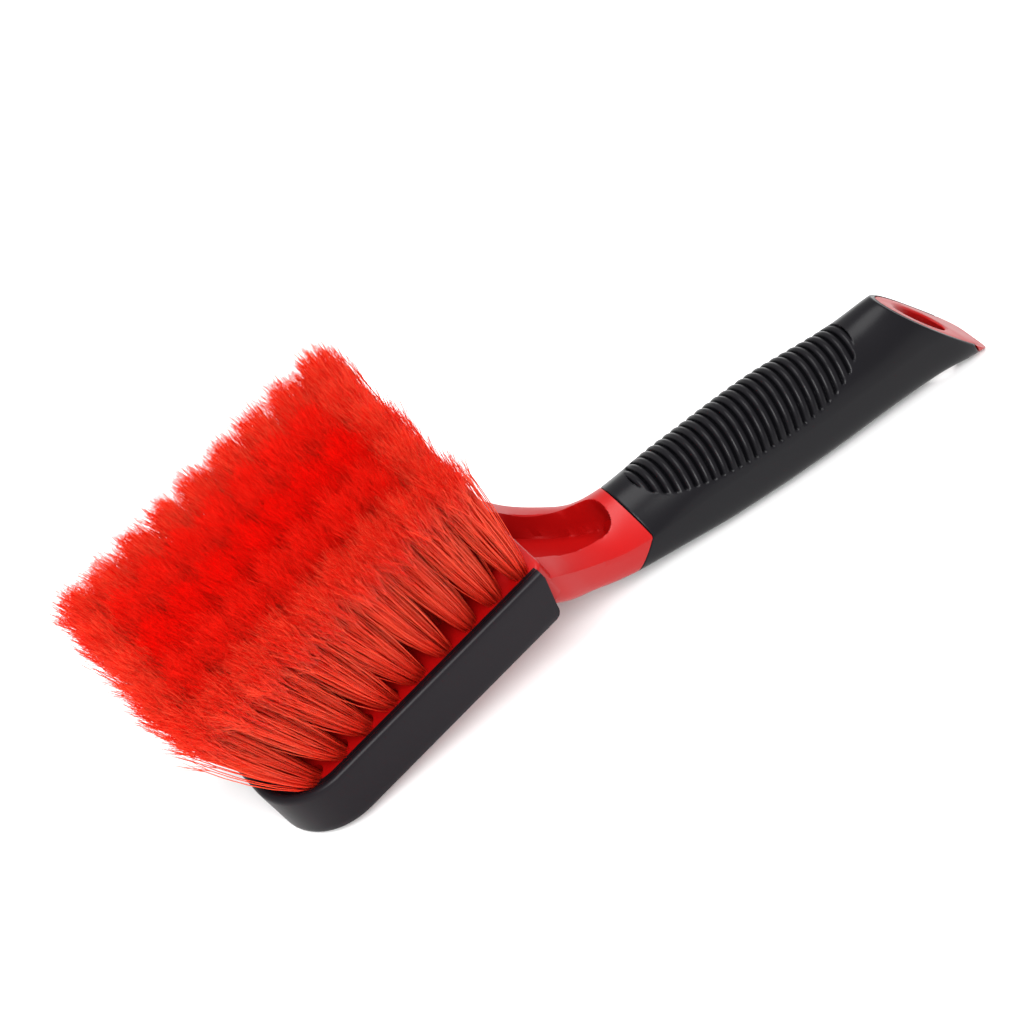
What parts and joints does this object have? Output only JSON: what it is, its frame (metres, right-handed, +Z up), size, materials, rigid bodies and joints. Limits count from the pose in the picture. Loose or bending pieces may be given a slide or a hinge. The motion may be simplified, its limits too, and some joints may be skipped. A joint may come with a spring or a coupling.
{
  "type": "wheel brush",
  "caption": "Short-handled wheel brush: splayed nylon tufts in a head block with a rubber bumper, gooseneck and soft ribbed grip with a hanging hole.",
  "frame": {"origin": "centre of the bounding box in plan, at the lowest point of the brush lying on its back", "axes": "+X along the brush from the bristle crown to the hanging end of the handle, +Y across, +Z up, the way the bristles point when it lies on its back"},
  "size_m": [0.3224, 0.0896, 0.1167],
  "materials": {
    "red_plastic": "glossy injection-moulded polypropylene, red",
    "grip_rubber": "satin black thermoplastic rubber",
    "bumper_rubber": "satin black thermoplastic rubber",
    "staple_wire": "flat galvanised anchor wire",
    "bristle": "red flagged synthetic filament"
  },
  "bodies": {
    "root": {"body_core": "red_plastic", "grip_sleeve": "grip_rubber", "head_bumper": "bumper_rubber", "tuft_row1_1": "bristle", "tuft_row1_2": "bristle", "tuft_row1_3": "bristle", "tuft_row1_4": "bristle", "tuft_row1_5": "bristle", "tuft_row1_6": "bristle", "tuft_row1_7": "bristle", "tuft_row1_8": "bristle", "tuft_row1_9": "bristle", "tuft_row2_1": "bristle", "tuft_row2_2": "bristle", "tuft_row2_3": "bristle", "tuft_row2_4": "bristle", "tuft_row2_5": "bristle", "tuft_row2_6": "bristle", "tuft_row2_7": "bristle", "tuft_row2_8": "bristle", "tuft_row2_9": "bristle", "tuft_row3_1": "bristle", "tuft_row3_2": "bristle", "tuft_row3_3": "bristle", "tuft_row3_4": "bristle", "tuft_row3_5": "bristle", "tuft_row3_6": "bristle", "tuft_row3_7": "bristle", "tuft_row3_8": "bristle", "tuft_row3_9": "bristle", "tuft_row4_1": "bristle", "tuft_row4_2": "bristle", "tuft_row4_3": "bristle", "tuft_row4_4": "bristle", "tuft_row4_5": "bristle", "tuft_row4_6": "bristle", "tuft_row4_7": "bristle", "tuft_row4_8": "bristle", "tuft_row4_9": "bristle", "tuft_row5_1": "bristle", "tuft_row5_2": "bristle", "tuft_row5_3": "bristle", "tuft_row5_4": "bristle", "tuft_row5_5": "bristle", "tuft_row5_6": "bristle", "tuft_row5_7": "bristle", "tuft_row5_8": "bristle", "tuft_row5_9": "bristle"}
  },
  "joints": []
}
